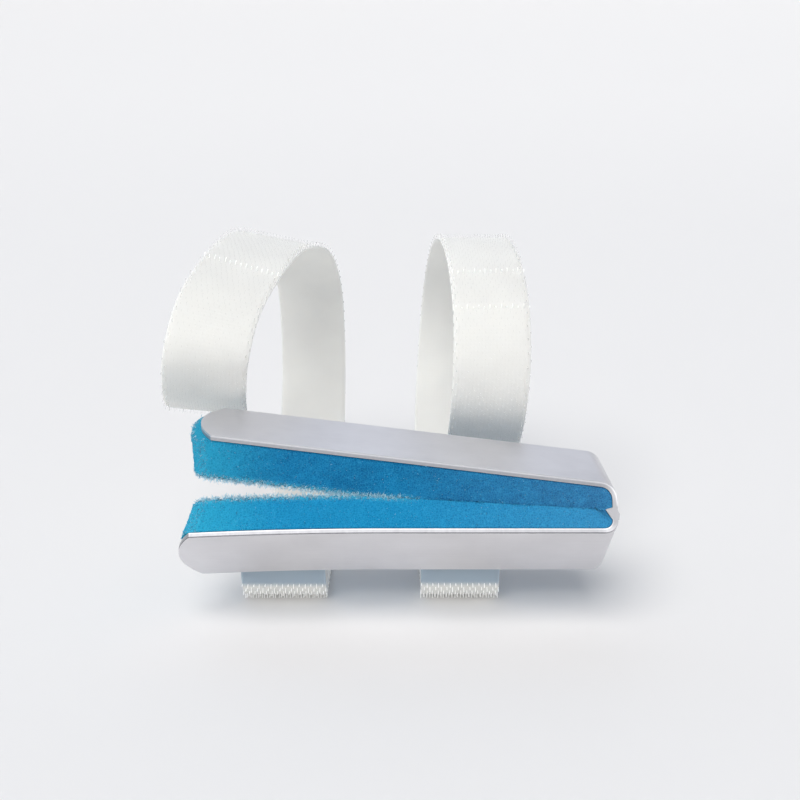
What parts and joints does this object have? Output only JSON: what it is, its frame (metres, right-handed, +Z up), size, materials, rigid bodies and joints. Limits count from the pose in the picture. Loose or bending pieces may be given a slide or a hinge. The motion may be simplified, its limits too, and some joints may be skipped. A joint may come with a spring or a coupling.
{
  "type": "finger splint",
  "caption": "Fold-over finger splint: a bent aluminium strip lined with foam, with hook-and-loop straps that curl behind it.",
  "frame": {"origin": "centre of the footprint on the table, below the whole part with its strap loops", "axes": "+X along the splint towards its fold, +Y from the splint to the strap loops behind it, +Z up"},
  "size_m": [0.0916, 0.1078, 0.0714],
  "materials": {
    "aluminium_strip": "satin rolled sheet with bright sheared edges",
    "foam": "open-cell polyurethane foam",
    "hook_and_loop_tape": "white nylon tape, hooks outside and loops inside"
  },
  "bodies": {
    "root": {"metal_strip": "aluminium_strip", "foam_liner": "foam", "strap_left": "hook_and_loop_tape", "strap_right": "hook_and_loop_tape"}
  },
  "joints": []
}
